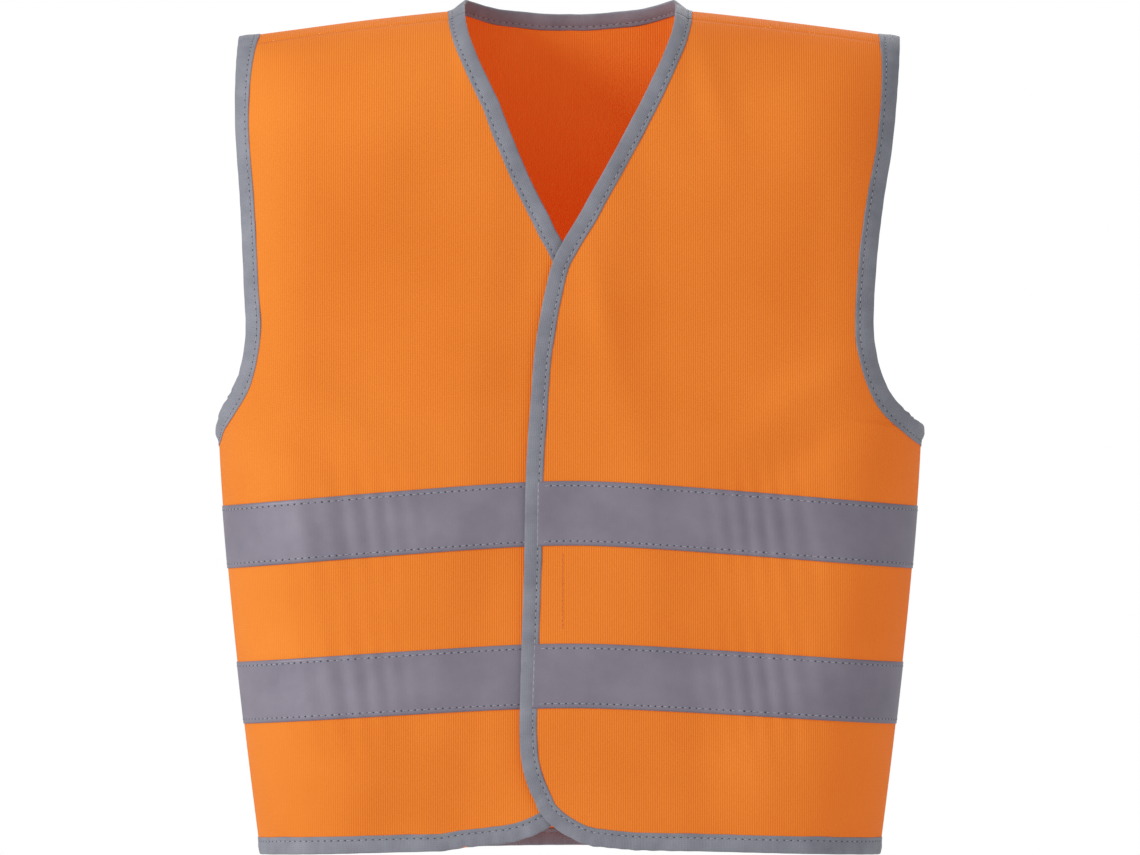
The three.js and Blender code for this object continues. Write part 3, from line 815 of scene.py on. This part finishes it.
def stitch_piece(name, rows, materials):
    """Rows of short threads that dip into needle holes."""
    a, b, n = (np.concatenate(x) for x in zip(*rows))
    n, way = unit(n), unit(b - a)
    side = np.cross(n, way)
    middle = (a + b) / 2
    rings = [(-1.0, 0.35, -1.2), (-0.8, 0.85, -0.2), (-0.3, 1.0, 0.3), (0.3, 1.0, 0.3),
             (0.8, 0.85, -0.2), (1.0, 0.35, -1.2)]
    around = np.arange(6) * math.pi / 3
    vertices = np.empty((len(a), len(rings), 6, 3))
    for i, (t, wide, lift) in enumerate(rings):
        centre = middle + way * t * STITCH_LENGTH / 2 + n * lift * THREAD_RADIUS
        for j, angle in enumerate(around):
            off = side * math.cos(angle) * 1.15 + n * math.sin(angle) * 0.8
            vertices[:, i, j] = centre + off * THREAD_RADIUS * wide
    index = np.arange(vertices[..., 0].size).reshape(len(a), len(rings), 6)
    index = np.concatenate([index, index[..., :1]], 2)
    tubes = np.stack([index[:, :-1, :-1], index[:, :-1, 1:], index[:, 1:, 1:], index[:, 1:, :-1]], -1)
    faces = tubes.reshape(-1, 4)[:, ::-1].tolist()
    faces += index[:, 0, :-1].tolist()
    faces += index[:, -1, :-1][:, ::-1].tolist()
    threads = len(faces)
    hole_points, hole_faces = hole_shade_domes(b + way * STITCH_PITCH / 8, way, side, n, vertices.size // 3)
    vertices = np.concatenate([vertices.reshape(-1, 3), hole_points])
    piece = add_piece(name, vertices, faces + hole_faces, None, materials[0])
    piece.data.materials.append(materials[1])
    # The domes take the second material: painted shade of the needle holes.
    of_hole_shade = np.zeros(len(piece.data.polygons), np.int32)
    of_hole_shade[threads:] = 1
    piece.data.polygons.foreach_set("material_index", of_hole_shade)
    return piece


def hole_shade_domes(centres, way, side, n, first):
    """Low domes, each closed underneath, that stand for the pulled needle holes; their dark colour is
    painted shade of the holes.
    """
    count = 8
    long, wide = HOLE_SIZE
    turns = [k * math.tau / count for k in range(count)]
    rim = [centres + way * long * math.cos(a) + side * wide * math.sin(a) - n * 0.00006 for a in turns]
    points = np.stack(rim + [centres + n * 0.00014, centres - n * 0.00016], 1)
    ids = first + np.arange(len(centres) * (count + 2)).reshape(-1, count + 2)
    faces = []
    for k in range(count):
        m = (k + 1) % count
        faces += ids[:, [k, m, count]].tolist()
        faces += ids[:, [m, k, count + 1]].tolist()
    return points.reshape(-1, 3), faces


def offset_path(path, turn, distance, flap=0):
    points = resample(path, 0.004)
    way = directions(points)
    inboard = turn * np.stack([way[:, 1], -way[:, 0]], 1)
    return points + inboard * distance * true_reach(points, inboard, flap)[:, None]


STITCH_INSET = (1 - SEWN_AT) * BINDING_WIDTH
TAPE_STITCH_INSET = 0.0027
BINDING_STITCH_LEVEL = float(leg_height(SEWN_AT)) + 0.00010
TAPE_STITCH_LEVEL = TAPE_OUTER + 0.00005


def band_rows(side, flap, face):
    rows = []
    for top, bottom in BANDS.values():
        for height, inset in ((top, TAPE_STITCH_INSET), (bottom, -TAPE_STITCH_INSET)):
            along = float(row_along(height)) + inset
            outer = float(side_seam(np.array(along)))
            if face > 0:
                edge = float(crossing(np.array(along), lambda z: free_edge_x(side, z)))
                path = [(edge + side * 0.0108, along), (side * outer, along)]
            else:
                path = [(-outer, -along), (outer, -along)]
            rows.append(stitch_row(path, TAPE_STITCH_LEVEL, flap))
    return rows


def make_stitches(thread, orange, hole_shade):
    # The second material of each pair is painted shade for the needle holes.
    grey = (thread, hole_shade)
    for name, side in SIDES.items():
        sewn = offset_path(front_path(side), side, STITCH_INSET, side)
        rows = [stitch_row(sewn, level, side) for level in (BINDING_STITCH_LEVEL, -BINDING_STITCH_LEVEL)]
        rows += band_rows(side, side, 1)
        piece = stitch_piece(f"{name}_front_stitches", rows, grey)
        fold_with(piece)
        sewn = offset_path(armhole_path(side), side, STITCH_INSET * ARMHOLE_WIDENING)
        rows = [stitch_row(sewn, level) for level in (BINDING_STITCH_LEVEL, -BINDING_STITCH_LEVEL)]
        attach(stitch_piece(f"{name}_armhole_stitches", rows, grey), "root")
    closure = [(-0.0045, float(along_at(0.0045, z))) for z in np.linspace(-0.329, -0.375, 12)]
    piece = stitch_piece("closure_stitches", [stitch_row(closure, CLOTH_HALF + 0.0001, 1)], (orange, orange))
    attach(piece, "over_flap")
    sewn = offset_path(neck_path(), -1, STITCH_INSET)
    rows = [stitch_row(sewn, level) for level in (-BINDING_STITCH_LEVEL, BINDING_STITCH_LEVEL)]
    reach = float(side_seam(np.array(-HEM_ALONG)))
    rows += [stitch_row([(reach, STITCH_INSET - HEM_ALONG), (-reach, STITCH_INSET - HEM_ALONG)],
                        BINDING_STITCH_LEVEL)]
    rows += band_rows(1, 0, -1)
    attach(stitch_piece("back_stitches", rows, grey), "root")


# Stage, light and camera ---------------------------------------------------------------------

CAMERA_DISTANCE = 12.0
VIEW_WIDTH = 0.684
VIEW_MIDDLE = -0.2541
FLOOR = -0.80


def make_stage():
    size = 6.0
    floor = add_piece("floor", np.array([(-size, -size, FLOOR), (size, -size, FLOOR),
                                         (size, size, FLOOR), (-size, size, FLOOR)]), [(0, 1, 2, 3)])
    material, tree, shader = new_material("floor")
    shader.inputs["Base Color"].default_value = (0.86, 0.86, 0.86, 1)
    shader.inputs["Roughness"].default_value = 0.9
    floor.data.materials.append(material)


def area_light(name, place_at, aim, size, power):
    light = bpy.data.lights.new(name, "AREA")
    light.shape = "DISK"
    light.size = size
    light.energy = power
    obj = bpy.data.objects.new(name, light)
    bpy.context.scene.collection.objects.link(obj)
    obj.location = place_at
    obj.rotation_euler = (Vector(aim) - Vector(place_at)).to_track_quat("-Z", "Y").to_euler()


def make_light():
    scene = bpy.context.scene
    world = bpy.data.worlds.new("studio")
    world.use_nodes = True
    scene.world = world
    tree = world.node_tree
    background = tree.nodes["Background"]
    background.inputs["Color"].default_value = (1, 1, 1, 1)
    background.inputs["Strength"].default_value = 0.62
    seen = node(tree, "ShaderNodeBackground")
    seen.inputs["Color"].default_value = (1, 1, 1, 1)
    seen.inputs["Strength"].default_value = 1.0
    path = node(tree, "ShaderNodeLightPath")
    mix = node(tree, "ShaderNodeMixShader")
    join(tree, path.outputs["Is Camera Ray"], mix.inputs[0])
    join(tree, background.outputs[0], mix.inputs[1])
    join(tree, seen.outputs[0], mix.inputs[2])
    join(tree, mix.outputs[0], tree.nodes["World Output"].inputs["Surface"])
    area_light("key", (-3.0, -1.9, 1.2), (0, 0, -0.2), 1.2, 88)
    area_light("fill", (1.6, -3.0, 0.6), (0, 0, -0.2), 2.0, 3)
    area_light("rim", (0.6, 2.4, 1.2), (0, 0, -0.2), 1.6, 24)
    scene.view_settings.view_transform = "Standard"


def make_camera():
    camera = bpy.data.cameras.new("camera")
    camera.sensor_width = 36
    camera.lens = camera.sensor_width * CAMERA_DISTANCE / VIEW_WIDTH
    camera.clip_end = 50
    obj = bpy.data.objects.new("camera", camera)
    bpy.context.scene.collection.objects.link(obj)
    obj.location = (0, -CAMERA_DISTANCE, VIEW_MIDDLE)
    obj.rotation_euler = (math.pi / 2, 0, 0)
    bpy.context.scene.camera = obj


def finish_nodes(materials):
    """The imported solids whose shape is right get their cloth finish."""
    for name, material in materials.items():
        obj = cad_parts[name]
        obj = obj if hasattr(obj, "data") else bpy.data.objects[name]
        obj.data.materials.clear()
        obj.data.materials.append(material)


def main():
    make_camera()
    make_stage()
    make_light()
    orange = knit_material("orange_knit", (0.54, 0.226, 0.026), (0.43, 0.168, 0.014), glow=PAINTED_GLOW)
    strip = knit_material("closure_strip", (0.80, 0.20, 0.04), (0.62, 0.12, 0.02), 0.0006, 0.0006)
    label = knit_material("label_satin", (0.86, 0.86, 0.84), (0.74, 0.74, 0.72), 0.0004, 0.0009)
    make_fronts(orange)
    make_back(orange)
    make_tapes(tape_material())
    make_bindings(binding_material())
    # The third thread colour is painted shade: near-black domes where the needle holes would lie in shadow.
    make_stitches(thread_material("grey_thread", (0.40, 0.40, 0.45), (0.22, 0.22, 0.26)),
                  thread_material("orange_thread", (0.80, 0.26, 0.07), (0.55, 0.13, 0.03)),
                  thread_material("needle_hole_painted_shade", (0.07, 0.07, 0.10), (0.03, 0.03, 0.045)))
    finish_nodes({"hook_strip": strip, "loop_strip": strip, "care_label": label})


main()
